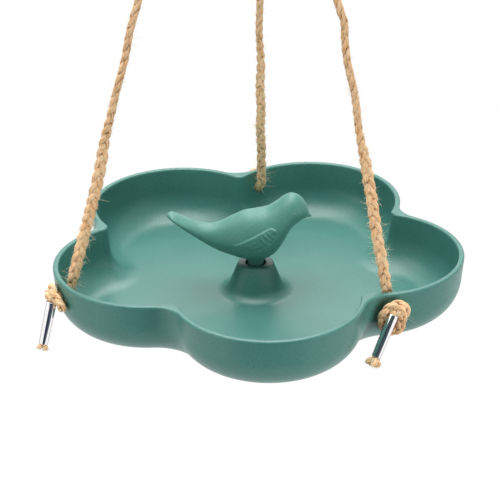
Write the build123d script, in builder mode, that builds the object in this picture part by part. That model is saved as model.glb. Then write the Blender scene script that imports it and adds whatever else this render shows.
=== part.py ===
from build123d import *
from math import cos, pi, radians, sin, tan
import os

os.makedirs("parts", exist_ok=True)

# Hanging bird feeder: a dish with five petals hangs on three ropes from a ring.
# A bird figure turns on a boss in the middle of the dish. Sizes in millimetres.
# The origin is where the ring bears on the hook that holds it, and +Z is up.
# The dish's mirror plane is XZ, with the petal of the left rope towards -X.

# Dish: each petal is a circle, drawn at the rim
petals = 5
lobe_offset = 69.0
lobe_radius = 56.0
notch_radius = 17.0
notch_inner_radius = 5.5
dish_height = 36.0
wall_draft = 5.0
rim_width = 3.4
rim_round = 1.2
floor_thickness = 3.0
bottom_round = 22.5

# Boss in the middle of the dish, hollow from below
boss_top_radius = 10.6
boss_height = 18.8
boss_slope = 21.3
boss_root_round = 9.0
boss_wall = 2.6
socket_radius = 6.2
socket_depth = 4.0
socket_web = 3.0

# Bird's peg, and the screw and washer that keep it in the boss
peg_radius = 4.8
spigot_radius = 3.4
spigot_play = 0.06
end_play = 0.2
bird_yaw = -24.0
screw_radius = 1.5
screw_length = 10.0
screw_head_radius = 2.8
screw_head_height = 2.0
screw_seat = 0.05
washer_radius = 5.6
washer_thickness = 1.0

# Rope, its holes in the wall and how far the ropes rise to where their lines meet
rope_diameter = 5.2
rope_hole_diameter = 8.0
rope_hole_depth = 11.0
rope_hole_turn = 67.7
rope_inset = 2.0
rope_bend_radius = 5.5
rope_rise = 418.0
rope_seat = 0.05

# Stopper knot outside each hole: a ring of rope round a core
knot_ring_radius = 6.8
knot_strand_radius = 2.9
knot_gap = 0.4
knot_core_radius = 4.8
knot_core_out = 2.0
rope_in_knot = 2.5

# Tail below each knot: rope in a tapered metal sleeve, frayed at its end
sleeve_start = 2.0
sleeve_length = 26.0
sleeve_top_radius = 2.85
sleeve_low_radius = 2.5
sleeve_wall = 0.35
sleeve_seat = 0.1
tip_length = 5.0
tip_radius = 3.6

# Hanging ring, rope loop round its wire, and the knot that gathers the ropes
ring_inner_radius = 10.0
ring_wire = 3.5
loop_gap = 0.3
loop_drop = 8.0
top_knot_radius = 8.9
top_knot_height = 25.0
top_knot_round = 7.0
top_knot_band = 2.6
top_knot_proud = 1.6
top_knot_tilt = 24.0
meet_below_top = 2.5
rope_end_below_meet = 16.5
loop_in_knot = 5.0

# Bird's body stations: along the body from the peg, centre above the rim,
# half the height and half the width
bird_stations = [
    (-52.3, 16.9, 0.9, 2.2),
    (-51.0, 16.8, 1.8, 4.2),
    (-48.0, 15.4, 2.5, 6.1),
    (-44.5, 13.2, 3.0, 6.7),
    (-38.5, 9.7, 4.1, 6.9),
    (-32.5, 6.5, 5.4, 7.0),
    (-26.5, 4.2, 7.2, 7.5),
    (-20.5, 3.2, 9.3, 8.7),
    (-14.0, 3.5, 11.9, 10.6),
    (-7.0, 4.2, 14.6, 12.6),
    (0.5, 4.9, 15.9, 13.7),
    (8.0, 6.6, 16.2, 13.7),
    (13.0, 9.7, 16.4, 13.3),
    (17.0, 13.8, 15.5, 12.5),
    (20.0, 17.9, 12.9, 10.8),
    (22.5, 20.6, 10.3, 9.0),
    (25.5, 21.6, 8.2, 7.4),
    (28.2, 21.1, 6.0, 5.4),
    (30.0, 19.5, 4.0, 3.6),
    (31.3, 17.4, 2.0, 1.8),
    (33.4, 16.0, 0.5, 0.5),
]

# The ropes: direction of the petal each hole is in, which way round the petal the hole
# lies, the knot's middle from the hole: along the wall, up; the tail's start from the
# hole: along the wall, up, out; and the tail's lean: outwards, along the wall, downwards
ropes = {
    "left": (180.0, 0, (2.5, 1.8), (2.4, 1.6, 5.6), (7.3, 2.0, 26.0)),
    "back": (36.0, 1, (0.0, -3.0), (0.0, -3.6, 6.9), (4.0, 0.0, 26.5)),
    "right": (-36.0, -1, (0.4, -2.6), (0.4, 2.4, 6.2), (8.6, -12.0, 21.4)),
}

# Heights that follow from the sizes
rope_radius = rope_diameter / 2
ring_path_radius = ring_inner_radius + ring_wire / 2
ring_centre_z = -ring_inner_radius
wire_low_z = ring_centre_z - ring_path_radius
loop_radius = ring_wire / 2 + loop_gap + rope_radius
top_knot_z = wire_low_z - loop_drop - top_knot_height / 2
meet_z = wire_low_z - loop_drop - meet_below_top
rim_z = meet_z - rope_rise
bottom_z = rim_z - dish_height
floor_z = bottom_z + floor_thickness
boss_top_z = floor_z + boss_height
web_top_z = boss_top_z - socket_depth
web_low_z = web_top_z - socket_web
boss_flare = tan(radians(boss_slope))
boss_skin = boss_wall / cos(radians(boss_slope))
boss_base_radius = boss_top_radius + boss_height * boss_flare
hollow_top_radius = boss_top_radius + (boss_top_z - web_low_z) * boss_flare - boss_skin
hollow_low_radius = boss_top_radius + (boss_top_z - bottom_z) * boss_flare - boss_skin
spigot_low_z = web_low_z - end_play
washer_low_z = spigot_low_z - washer_thickness
up = Vector(0, 0, 1)
meet = Vector(0, 0, meet_z)


def heading(degrees):
    """Level direction at an angle from +X."""
    return Vector(cos(radians(degrees)), sin(radians(degrees)), 0)


def bird_plane(along, height):
    """Plane across the bird's body, its x sideways and its y up."""
    ahead = heading(bird_yaw)
    return Plane(
        origin=ahead * along + up * (rim_z + height),
        x_dir=up.cross(ahead),
        z_dir=ahead,
    )


# Inside of the dish, cut from it below
with BuildPart() as cavity:
    with BuildSketch(Plane.XY.offset(rim_z)) as mouth:
        Circle(lobe_offset)
        with PolarLocations(lobe_offset, petals, start_angle=180):
            Circle(lobe_radius - rim_width)
        fillet(mouth.vertices().sort_by_distance((0, 0, rim_z))[:petals], notch_inner_radius)
    extrude(amount=floor_z - rim_z, taper=wall_draft)
    fillet(cavity.edges().group_by(Axis.Z)[0], bottom_round - floor_thickness)

# Dish, one moulding with its boss
with BuildPart() as tray:
    with BuildSketch(Plane.XY.offset(rim_z)) as rim:
        Circle(lobe_offset)
        with PolarLocations(lobe_offset, petals, start_angle=180):
            Circle(lobe_radius)
        fillet(rim.vertices().sort_by_distance((0, 0, rim_z))[:petals], notch_radius)
    extrude(amount=-dish_height, taper=wall_draft)
    fillet(tray.edges().group_by(Axis.Z)[0], bottom_round)
    add(cavity.part, mode=Mode.SUBTRACT)
    fillet(tray.edges().group_by(Axis.Z)[-1], rim_round)
    with Locations((0, 0, floor_z)):
        Cone(
            boss_base_radius,
            boss_top_radius,
            boss_height,
            align=(Align.CENTER, Align.CENTER, Align.MIN),
        )
    root = tray.edges().filter_by(GeomType.CIRCLE)
    root = root.filter_by_position(Axis.Z, floor_z - 0.01, floor_z + 0.01)
    fillet(root.sort_by(SortBy.RADIUS)[:1], boss_root_round)
    with BuildSketch(Plane.XZ):
        with BuildLine():
            Polyline(
                (0, boss_top_z),
                (socket_radius, boss_top_z),
                (socket_radius, web_top_z),
                (spigot_radius + spigot_play, web_top_z),
                (spigot_radius + spigot_play, web_low_z),
                (hollow_top_radius, web_low_z),
                (hollow_low_radius, bottom_z),
                (0, bottom_z),
                close=True,
            )
        make_face()
    revolve(axis=Axis.Z, mode=Mode.SUBTRACT)
    for petal_turn, side, *_ in ropes.values():
        outward = heading(petal_turn + side * rope_hole_turn)
        wall_radius = lobe_radius - rope_hole_depth * tan(radians(wall_draft))
        mouth_at = heading(petal_turn) * lobe_offset + outward * wall_radius
        mouth_at = mouth_at + up * (rim_z - rope_hole_depth)
        with BuildSketch(Plane(origin=mouth_at + outward * rim_width, z_dir=-outward)):
            Circle(rope_hole_diameter / 2)
        extrude(amount=3 * rim_width, mode=Mode.SUBTRACT)
tray.part.label = "tray"
export_step(tray.part, "parts/tray.step")

# Bird figure with its peg, the spigot that turns in the boss and the screw's hole
with BuildPart() as bird:
    for along, height, half_height, half_width in bird_stations:
        with BuildSketch(bird_plane(along, height)):
            with BuildLine():
                around = [pi / 4 * step for step in range(8)]
                Spline([(half_width * cos(a), half_height * sin(a)) for a in around], periodic=True)
            make_face()
    loft()
    with Locations((0, 0, web_top_z)):
        Cylinder(
            peg_radius,
            rim_z - web_top_z,
            align=(Align.CENTER, Align.CENTER, Align.MIN),
        )
    with Locations((0, 0, spigot_low_z)):
        Cylinder(
            spigot_radius,
            web_top_z - spigot_low_z,
            align=(Align.CENTER, Align.CENTER, Align.MIN),
        )
    with Locations((0, 0, spigot_low_z)):
        Cylinder(
            screw_radius + screw_seat,
            screw_length - washer_thickness,
            align=(Align.CENTER, Align.CENTER, Align.MIN),
            mode=Mode.SUBTRACT,
        )
bird.part.label = "bird"
export_step(bird.part, "parts/bird.step")

# Washer under the boss's web, held against the spigot
with BuildPart() as bird_washer:
    with BuildSketch(Plane.XY.offset(washer_low_z)):
        Circle(washer_radius)
        Circle(screw_radius + screw_seat, mode=Mode.SUBTRACT)
    extrude(amount=washer_thickness)
bird_washer.part.label = "bird_washer"
export_step(bird_washer.part, "parts/bird_washer.step")

# Pan-head screw from below into the bird's spigot
with BuildPart() as bird_screw:
    with BuildSketch(Plane.XY.offset(washer_low_z - screw_head_height)):
        Circle(screw_head_radius)
    extrude(amount=screw_head_height)
    fillet(bird_screw.edges().group_by(Axis.Z)[0], screw_head_height / 2)
    with BuildSketch(Plane.XY.offset(washer_low_z)):
        Circle(screw_radius)
    extrude(amount=screw_length)
bird_screw.part.label = "bird_screw"
export_step(bird_screw.part, "parts/bird_screw.step")

# Ropes with their stopper knots, tails and sleeves, one set for each hole
for name, (petal_turn, side, knot_place, tail_place, lean) in ropes.items():
    outward = heading(petal_turn + side * rope_hole_turn)
    along = up.cross(outward)
    wall_radius = lobe_radius - rope_hole_depth * tan(radians(wall_draft))
    mouth_at = heading(petal_turn) * lobe_offset + outward * wall_radius
    mouth_at = mouth_at + up * (rim_z - rope_hole_depth)
    square = outward * cos(radians(wall_draft)) - up * sin(radians(wall_draft))
    rope_from = mouth_at + outward * rope_in_knot
    rope_turn = mouth_at - outward * (rim_width + rope_inset)
    rope_line = (meet - rope_turn).normalized()
    rope_to = meet - rope_line * (rope_end_below_meet / rope_line.Z)

    # Rope: from inside the knot through the wall, round the hole's edge and straight up
    with BuildPart() as rope:
        with BuildLine() as route:
            FilletPolyline(rope_from, rope_turn, rope_to, radius=rope_bend_radius)
        with BuildSketch(Plane(origin=rope_from, z_dir=-outward)):
            Circle(rope_radius)
        sweep()
    rope.part.label = "rope_" + name
    export_step(rope.part, "parts/rope_" + name + ".step")
    route_length = sum(edge.length for edge in route.edges())
    tube = pi * rope_radius**2 * route_length
    print("rope", name, "bend radius", rope_bend_radius, "length", round(route_length, 1))
    print("  volume over section times length", round(rope.part.volume / tube, 4))

    # Stopper knot, seated on the wall, with pockets for the rope and for the tail
    knot_at = mouth_at + square * (knot_gap + knot_strand_radius)
    knot_at = knot_at + along * knot_place[0] + up * knot_place[1]
    tail_at = mouth_at + along * tail_place[0] + up * tail_place[1] + outward * tail_place[2]
    tail_line = (outward * lean[0] + along * lean[1] - up * lean[2]).normalized()
    with BuildPart(Plane(origin=knot_at, x_dir=along, z_dir=square)) as knot:
        Torus(knot_ring_radius, knot_strand_radius)
        Cylinder(knot_ring_radius, 1.4 * knot_strand_radius)
        with Locations((0, 0, knot_core_out)):
            Sphere(knot_core_radius)
        with BuildSketch(Plane(origin=rope_from, z_dir=-outward)):
            Circle(rope_radius + rope_seat)
        extrude(amount=2 * rope_in_knot, mode=Mode.SUBTRACT)
        with BuildSketch(Plane(origin=tail_at, z_dir=tail_line)):
            Circle(sleeve_top_radius - sleeve_wall)
        extrude(amount=sleeve_length, mode=Mode.SUBTRACT)
        with BuildSketch(Plane(origin=tail_at + tail_line * sleeve_start, z_dir=tail_line)):
            Circle(sleeve_top_radius + sleeve_seat)
        extrude(amount=sleeve_length, mode=Mode.SUBTRACT)
    knot.part.label = "knot_" + name
    export_step(knot.part, "parts/knot_" + name + ".step")

    # Tail: the rope inside the sleeve and its frayed tip, drawn along the tail's own line
    tail_side = along.cross(tail_line).normalized()
    tail_plane = Plane(origin=tail_at, x_dir=tail_side, z_dir=tail_line.cross(tail_side))
    core_top = sleeve_top_radius - sleeve_wall - rope_seat
    core_low = sleeve_low_radius - sleeve_wall - rope_seat
    sleeve_end = sleeve_start + sleeve_length
    with BuildPart() as tail:
        with BuildSketch(tail_plane):
            with BuildLine():
                Polyline(
                    (0, 0),
                    (core_top, 0),
                    (core_top, -sleeve_start),
                    (core_low, -sleeve_end),
                    (tip_radius, -sleeve_end - 0.7 * tip_length),
                    (0.8 * tip_radius, -sleeve_end - tip_length),
                    (0, -sleeve_end - tip_length),
                    close=True,
                )
            make_face()
        revolve(axis=Axis(tail_at, tail_line))
    tail.part.label = "tail_" + name
    export_step(tail.part, "parts/tail_" + name + ".step")

    # Sleeve: a thin tapered metal tube pressed round the rope
    with BuildPart() as sleeve:
        with BuildSketch(tail_plane):
            with BuildLine():
                Polyline(
                    (sleeve_top_radius - sleeve_wall, -sleeve_start),
                    (sleeve_top_radius, -sleeve_start),
                    (sleeve_low_radius, -sleeve_end),
                    (sleeve_low_radius - sleeve_wall, -sleeve_end),
                    close=True,
                )
            make_face()
        revolve(axis=Axis(tail_at, tail_line))
    sleeve.part.label = "sleeve_" + name
    export_step(sleeve.part, "parts/sleeve_" + name + ".step")

# Hanging ring: a welded ring of round wire, upright in the XZ plane
with BuildPart(Plane(origin=(0, 0, ring_centre_z), z_dir=(0, 1, 0))) as hanging_ring:
    Torus(ring_path_radius, ring_wire / 2)
hanging_ring.part.label = "hanging_ring"
export_step(hanging_ring.part, "parts/hanging_ring.step")

# Rope loop over the ring's wire, both legs down into the gathering knot
loop_low_z = wire_low_z - loop_drop - loop_in_knot
with BuildPart() as top_loop:
    with BuildLine() as loop_route:
        Line((0, -loop_radius, loop_low_z), (0, -loop_radius, wire_low_z))
        ThreePointArc(
            (0, -loop_radius, wire_low_z),
            (0, 0, wire_low_z + loop_radius),
            (0, loop_radius, wire_low_z),
        )
        Line((0, loop_radius, wire_low_z), (0, loop_radius, loop_low_z))
    with BuildSketch(Plane.XY.offset(loop_low_z)):
        with Locations((0, -loop_radius)):
            Circle(rope_radius)
    sweep()
top_loop.part.label = "top_loop"
export_step(top_loop.part, "parts/top_loop.step")
loop_length = sum(edge.length for edge in loop_route.edges())
loop_tube = pi * rope_radius**2 * loop_length
print("loop bend radius", loop_radius, "length", round(loop_length, 1))
print("  volume over section times length", round(top_loop.part.volume / loop_tube, 4))

# Gathering knot: the three ropes tied in one knot under the ring, two turns of rope proud of it
with BuildPart() as top_knot:
    with Locations((0, 0, top_knot_z)):
        Cylinder(top_knot_radius, top_knot_height)
    fillet(top_knot.edges(), top_knot_round)
    with Locations(
        Location((0, 0, top_knot_z), (top_knot_tilt, 0, 0)),
        Location((0, 0, top_knot_z), (-top_knot_tilt, 0, 0)),
    ):
        Torus(top_knot_radius + top_knot_proud - top_knot_band, top_knot_band)
    for petal_turn, side, *_ in ropes.values():
        outward = heading(petal_turn + side * rope_hole_turn)
        wall_radius = lobe_radius - rope_hole_depth * tan(radians(wall_draft))
        rope_turn = heading(petal_turn) * lobe_offset
        rope_turn = rope_turn + outward * (wall_radius - rim_width - rope_inset)
        rope_turn = rope_turn + up * (rim_z - rope_hole_depth)
        rope_line = (meet - rope_turn).normalized()
        rope_to = meet - rope_line * (rope_end_below_meet / rope_line.Z)
        with BuildSketch(Plane(origin=rope_to, z_dir=-rope_line)):
            Circle(rope_radius + rope_seat)
        extrude(amount=top_knot_height, mode=Mode.SUBTRACT)
    with BuildSketch(Plane.XY.offset(loop_low_z)):
        with Locations((0, -loop_radius), (0, loop_radius)):
            Circle(rope_radius + rope_seat)
    extrude(amount=top_knot_height, mode=Mode.SUBTRACT)
top_knot.part.label = "top_knot"
export_step(top_knot.part, "parts/top_knot.step")
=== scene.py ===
from math import atan, cos, pi, radians, sin, tan

import bmesh
import bpy
import numpy as np
from mathutils import Euler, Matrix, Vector


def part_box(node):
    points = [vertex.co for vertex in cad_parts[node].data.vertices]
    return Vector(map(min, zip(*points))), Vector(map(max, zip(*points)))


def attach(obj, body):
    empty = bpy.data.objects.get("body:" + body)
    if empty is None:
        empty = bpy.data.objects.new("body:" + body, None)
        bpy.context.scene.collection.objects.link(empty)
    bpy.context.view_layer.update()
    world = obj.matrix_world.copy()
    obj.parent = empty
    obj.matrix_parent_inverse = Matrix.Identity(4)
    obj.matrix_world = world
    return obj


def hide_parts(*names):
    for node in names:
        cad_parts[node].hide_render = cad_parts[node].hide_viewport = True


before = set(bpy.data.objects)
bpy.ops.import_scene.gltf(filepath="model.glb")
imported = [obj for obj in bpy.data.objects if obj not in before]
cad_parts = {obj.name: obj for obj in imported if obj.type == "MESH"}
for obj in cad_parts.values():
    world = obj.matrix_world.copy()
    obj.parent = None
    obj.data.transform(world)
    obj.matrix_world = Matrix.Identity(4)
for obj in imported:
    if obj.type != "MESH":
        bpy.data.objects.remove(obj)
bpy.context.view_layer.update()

# Dish
# One moulding in matte green plastic: five petals with a rounded bottom edge, a cone-shaped boss in
# the middle that is hollow from below, and three rope holes in the wall near the rim.
dish_low, dish_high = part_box("tray")
rim_z = dish_high.z
bottom_z = dish_low.z
dish_height = rim_z - bottom_z
floor_thickness = 0.003
petals = 5
petal_offset = 0.069
petal_radius = 0.056
notch_radius = 0.017
inner_notch_radius = 0.0055
wall = 0.0034
draft = radians(5)
rim_round = 0.0012
outer_round = 0.0225
boss_top_radius = 0.0106
boss_height = 0.0188
boss_slope = radians(21.3)
boss_root_round = 0.009
boss_wall = 0.0026
socket_radius = 0.0062
socket_depth = 0.004
socket_web = 0.003
bearing_radius = 0.00346
edge_break = 0.0003
hole_radius = 0.004
hole_drop = 0.011
hole_turn = radians(67.7)
hole_lip = 0.0004
hole_patch_rows = 6
hole_patch_columns = 5
hole_rings = 5

# Rope holes: the direction of the petal that each is in, and which way round the petal it lies
hole_places = {"left": (pi, 0), "back": (radians(36), 1), "right": (radians(-36), -1)}


def petal_outline(radius, notch, petal_steps=120, notch_steps=12):
    """Plan of the dish as complex points, with outward normals: each petal is an arc of the radius about
    a centre on the offset circle, each notch an arc of the notch radius that touches both its petals."""
    half = pi / petals
    reach = petal_offset * sin(half)
    notch_out = petal_offset * cos(half) + np.sqrt((radius + notch) ** 2 - reach**2)
    turn = np.arctan2(notch_out * sin(half), notch_out * cos(half) - petal_offset)
    petal = np.exp(1j * np.linspace(-turn, turn, petal_steps, endpoint=False))
    hollow = np.exp(1j * np.linspace(pi + turn, pi + 2 * half - turn, notch_steps, endpoint=False))
    plan = np.concatenate([petal_offset + radius * petal, notch_out * np.exp(1j * half) + notch * hollow])
    spin = np.exp(1j * (pi + 2 * half * np.arange(petals)))
    return np.outer(spin, plan).ravel(), np.outer(spin, np.concatenate([petal, -hollow])).ravel()


def wall_profile(start, depth, radius, step=0.001):
    """Inset and drop from the rim, at even steps, down the drafted wall and round an arc of the radius
    that touches the wall and the level at the depth."""
    arc_out = (depth - radius) * tan(draft) + radius / cos(draft)
    drop = np.linspace(start, depth - radius + radius * sin(draft), 200)
    turn = np.linspace(pi + draft, 1.5 * pi, 400)[1:]
    inset = np.concatenate([drop * tan(draft), arc_out + radius * np.cos(turn)])
    drop = np.concatenate([drop, depth - radius - radius * np.sin(turn)])
    along = np.concatenate([[0], np.cumsum(np.hypot(np.diff(inset), np.diff(drop)))])
    even = np.linspace(0, along[-1], int(along[-1] / step) + 1)
    return np.interp(even, along, inset), np.interp(even, along, drop)


def lifted(plan, height):
    """Points in space from complex plan points and their heights."""
    plan = np.asarray(plan)
    return np.stack([plan.real, plan.imag, np.broadcast_to(height, plan.shape)], -1)


def turned(radii, heights, spokes):
    """Surface of revolution about the Z axis: each radius and height at every spoke angle."""
    plan = np.outer(radii, np.exp(1j * spokes))
    return lifted(plan, np.asarray(heights)[:, None])


def run_length(line):
    """How far along a line of points each of them is."""
    return np.concatenate([[0], np.cumsum(np.linalg.norm(np.diff(line, axis=0), axis=1))])


def full_turn(steps):
    """Even angles once round."""
    return np.linspace(0, 2 * pi, steps, endpoint=False)


def skin(name, sheets, keeps=None, closed=True, girth=1.0, shade=None, sharp=40):
    """One welded mesh from sheets of points, each an array of rows by columns: neighbouring points span a
    quad, the last column meets the first where closed, and keeps masks out quads. The UV map runs along
    the rows in metres and round the columns over the girth; shade is one value for each point."""
    corners, places, base = [], [], 0
    for number, sheet in enumerate(sheets):
        rows, columns = sheet.shape[:2]
        index = base + np.arange(rows * columns).reshape(rows, columns)
        length = run_length(sheet.mean(1))
        if closed:
            index = np.concatenate([index, index[:, :1]], 1)
        around = np.linspace(0, girth, index.shape[1])
        quads = np.stack([index[:-1, :-1], index[1:, :-1], index[1:, 1:], index[:-1, 1:]], -1)
        along, across = np.broadcast_arrays(length[:, None], around[None])
        spot = np.stack([along, across], -1)
        spots = np.stack([spot[:-1, :-1], spot[1:, :-1], spot[1:, 1:], spot[:-1, 1:]], 2)
        keep = np.ones(quads.shape[:2], bool) if keeps is None or keeps[number] is None else keeps[number]
        corners.append(quads[keep])
        places.append(spots[keep])
        base += rows * columns
    corners = np.concatenate(corners)
    mesh = bpy.data.meshes.new(name)
    mesh.vertices.add(base)
    mesh.vertices.foreach_set("co", np.concatenate([s.reshape(-1, 3) for s in sheets]).ravel())
    mesh.loops.add(corners.size)
    mesh.loops.foreach_set("vertex_index", corners.ravel())
    mesh.polygons.add(len(corners))
    mesh.polygons.foreach_set("loop_start", np.arange(0, corners.size, 4))
    mesh.update(calc_edges=True)
    layer = mesh.uv_layers.new(name="along")
    layer.data.foreach_set("uv", np.concatenate(places).ravel())
    if shade is not None:
        mesh.attributes.new("shade", "FLOAT", "POINT").data.foreach_set("value", np.ravel(shade))
    solid = bmesh.new()
    solid.from_mesh(mesh)
    bmesh.ops.remove_doubles(solid, verts=solid.verts, dist=1e-7)
    bmesh.ops.dissolve_degenerate(solid, edges=solid.edges, dist=1e-8)
    bmesh.ops.recalc_face_normals(solid, faces=solid.faces)
    solid.to_mesh(mesh)
    solid.free()
    mesh.polygons.foreach_set("use_smooth", np.ones(len(mesh.polygons), bool))
    mesh.set_sharp_from_angle(angle=radians(sharp))
    made = bpy.data.objects.new(name, mesh)
    bpy.context.scene.collection.objects.link(made)
    return made


inner, inner_normal = petal_outline(petal_radius - wall, inner_notch_radius)
outer, outer_normal = petal_outline(petal_radius, notch_radius)
inner_inset, inner_drop = wall_profile(
    rim_round * (1 - sin(draft)), dish_height - floor_thickness, outer_round - floor_thickness
)
outer_inset, outer_drop = wall_profile(rim_round * (1 + sin(draft)), dish_height, outer_round)
inner_wall = lifted(inner - inner_inset[:, None] * inner_normal, rim_z - inner_drop[:, None])
outer_wall = lifted(outer - outer_inset[:, None] * outer_normal, rim_z - outer_drop[:, None])

# Rim: a quarter round up from the inner wall, a flat, and a quarter round over to the outer wall
inner_lean = rim_round * (tan(draft) - 1 / cos(draft))
outer_lean = rim_round * (tan(draft) + 1 / cos(draft))
inside_turn = np.linspace(draft, pi / 2, 7)[:, None]
outside_turn = np.linspace(pi / 2, pi + draft, 7)[:, None]
rim_plan = np.concatenate([
    inner - (inner_lean + rim_round * np.cos(inside_turn)) * inner_normal,
    outer - (outer_lean + rim_round * np.cos(outside_turn)) * outer_normal,
])
rim_drop = rim_round * (1 - np.sin(np.concatenate([inside_turn, outside_turn])))
rim_edge = lifted(rim_plan, rim_z - rim_drop)

# Inside floor and boss: socket for the bird's peg, flat top, cone, root round, then level to the wall
floor_z = bottom_z + floor_thickness
boss_top_z = floor_z + boss_height
web_top_z = boss_top_z - socket_depth
web_low_z = web_top_z - socket_web
boss_base_radius = boss_top_radius + boss_height * tan(boss_slope)
root_reach = boss_root_round * tan((pi / 2 - boss_slope) / 2)
root_turn = np.linspace(pi + boss_slope, 1.5 * pi, 14)
root_radii = boss_base_radius + root_reach + boss_root_round * np.cos(root_turn)
root_heights = floor_z + boss_root_round + boss_root_round * np.sin(root_turn)
spokes = np.angle(inner)
boss_radii = [bearing_radius, bearing_radius, bearing_radius + edge_break, socket_radius - edge_break]
boss_radii += [socket_radius, socket_radius, socket_radius + edge_break, boss_top_radius - 2 * edge_break]
boss_radii += [boss_top_radius - 0.6 * edge_break, boss_top_radius + 0.5 * edge_break]
boss_heights = [web_low_z, web_top_z - edge_break, web_top_z, web_top_z]
boss_heights += [web_top_z + edge_break, boss_top_z - edge_break, boss_top_z, boss_top_z]
boss_heights += [boss_top_z - 0.4 * edge_break, boss_top_z - 1.3 * edge_break]
boss = turned(np.concatenate([boss_radii, root_radii]), np.concatenate([boss_heights, root_heights]), spokes)
spread = np.linspace(0, 1, 14)[:, None, None]
dish_floor = boss[-1] * (1 - spread) + inner_wall[-1] * spread

# Underside: level from the bottom round to the hollow under the boss, and up to the web
hollow_skin = boss_wall / cos(boss_slope)
hollow_low_radius = boss_top_radius + (boss_top_z - bottom_z) * tan(boss_slope) - hollow_skin
hollow_top_radius = boss_top_radius + (boss_top_z - web_low_z) * tan(boss_slope) - hollow_skin
hollow_radii = [hollow_low_radius + edge_break, hollow_low_radius, hollow_top_radius, bearing_radius]
hollow_heights = [bottom_z, bottom_z + edge_break, web_low_z, web_low_z]
hollow = turned(hollow_radii, hollow_heights, np.angle(outer))
hollow[-1] = boss[0]
underside = outer_wall[-1] * (1 - spread[::2]) + hollow[0] * spread[::2]


def wall_point(plan, normal, inset, drop, column, row):
    """Points of a wall at fractional columns and rows, straight between its grid points."""
    before = np.floor(column).astype(int)
    share = column - before
    before, after = before % len(plan), (before + 1) % len(plan)
    place = plan[before] * (1 - share) + plan[after] * share
    facing = normal[before] * (1 - share) + normal[after] * share
    number = np.arange(len(inset))
    return lifted(place - np.interp(row, number, inset) * facing, rim_z - np.interp(row, number, drop))


def hole_side(plan, normal, inset, drop, mouth):
    """Rings from a patch of the wall's grid in to a round hole at the mouth, and a mask of the wall's quads
    that leaves the patch out."""
    row = np.interp(hole_drop, drop, np.arange(len(drop)))
    level = plan - np.interp(row, np.arange(len(inset)), inset) * normal
    column = int(np.argmin(abs(level - mouth)))
    step = np.roll(level, -1)[column] - np.roll(level, 1)[column]
    centre = column + 2 * ((mouth - level[column]) * np.conj(step)).real / abs(step) ** 2
    columns = column + np.arange(-hole_patch_columns, hole_patch_columns + 1)
    rows = round(float(row)) + np.arange(-hole_patch_rows, hole_patch_rows + 1)
    edge_column = np.concatenate([
        columns[:-1], np.full(len(rows) - 1, columns[-1]), columns[:0:-1], np.full(len(rows) - 1, columns[0])
    ])
    edge_row = np.concatenate([
        np.full(len(columns) - 1, rows[0]), rows[:-1], np.full(len(columns) - 1, rows[-1]), rows[:0:-1]
    ])
    column_step = abs(step) / 2
    row_step = np.hypot(inset[1] - inset[0], drop[1] - drop[0])
    turn = np.arctan2((edge_row - row) * row_step, (edge_column - centre) * column_step)
    share = np.linspace(0, 1, hole_rings)[:, None]
    reach = hole_radius + hole_lip
    ring_column = edge_column * (1 - share) + (centre + reach * np.cos(turn) / column_step) * share
    ring_row = edge_row * (1 - share) + (row + reach * np.sin(turn) / row_step) * share
    keep = np.ones((len(inset) - 1, len(plan)), bool)
    keep[np.ix_(np.arange(rows[0], rows[-1]), np.arange(columns[0], columns[-1]) % len(plan))] = False
    return wall_point(plan, normal, inset, drop, ring_column, ring_row), keep


# Rope holes: each wall's grid gives way to rings that run in to the hole, over its broken edge and through
hole_outward = {}
hole_mouth = {}
hole_tunnels = []
inner_keep = np.ones((len(inner_inset) - 1, len(inner)), bool)
outer_keep = np.ones((len(outer_inset) - 1, len(outer)), bool)
for name, (petal_turn, side) in hole_places.items():
    outward = np.exp(1j * (petal_turn + side * hole_turn))
    mouth = petal_offset * np.exp(1j * petal_turn) + (petal_radius - hole_drop * tan(draft)) * outward
    hole_outward[name] = lifted(outward, 0.0)
    hole_mouth[name] = lifted(mouth, rim_z - hole_drop)
    outside, outer_rest = hole_side(outer, outer_normal, outer_inset, outer_drop, mouth)
    inside, inner_rest = hole_side(inner, inner_normal, inner_inset, inner_drop, mouth - wall * outward)
    axis = hole_outward[name]
    narrow = hole_radius / (hole_radius + hole_lip)
    lips = []
    for ring, way in ((outside[-1], -1), (inside[-1], 1)):
        centre = ring.mean(0)
        lips.append(centre + (ring - centre) * narrow + way * hole_lip * axis)
    hole_tunnels.append(np.concatenate([outside, lips[0][None], lips[1][None], inside[::-1]]))
    inner_keep &= inner_rest
    outer_keep &= outer_rest

dish = skin(
    "dish",
    [boss, dish_floor, inner_wall, rim_edge, outer_wall, underside, hollow, *hole_tunnels],
    [None, None, inner_keep, None, outer_keep, None, None, *[None] * len(hole_tunnels)],
)


def node_maker(tree):
    """A maker of nodes for the tree, each with its settings, its socket values and its links."""

    def node(kind, inputs=None, **settings):
        """A node of that kind."""
        new = tree.nodes.new("ShaderNode" + kind)
        for key, value in settings.items():
            setattr(new, key, value)
        for key, value in (inputs or {}).items():
            if isinstance(value, bpy.types.NodeSocket):
                tree.links.new(value, new.inputs[key])
            else:
                new.inputs[key].default_value = value
        return new

    return node


def new_material(name):
    """A node material, its node tree, its Principled shader and its maker of nodes."""
    made = bpy.data.materials.new(name)
    made.use_nodes = True
    tree = made.node_tree
    return made, tree, tree.nodes["Principled BSDF"], node_maker(tree)


def ramp(node, factor, *stops):
    """A colour ramp over the factor, its stops given as place and linear colour."""
    new = node("ValToRGB", {"Fac": factor})
    for element, (place, colour) in zip(new.color_ramp.elements, stops):
        element.position = place
        element.color = (*colour, 1)
    for place, colour in stops[2:]:
        new.color_ramp.elements.new(place).color = (*colour, 1)
    return new.outputs["Color"]


def multiplied(node, first, second):
    """The product of two colours."""
    mixed = node("Mix", {"Factor": 1.0, "A": first, "B": second}, data_type="RGBA", blend_type="MULTIPLY")
    return mixed.outputs["Result"]


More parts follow.
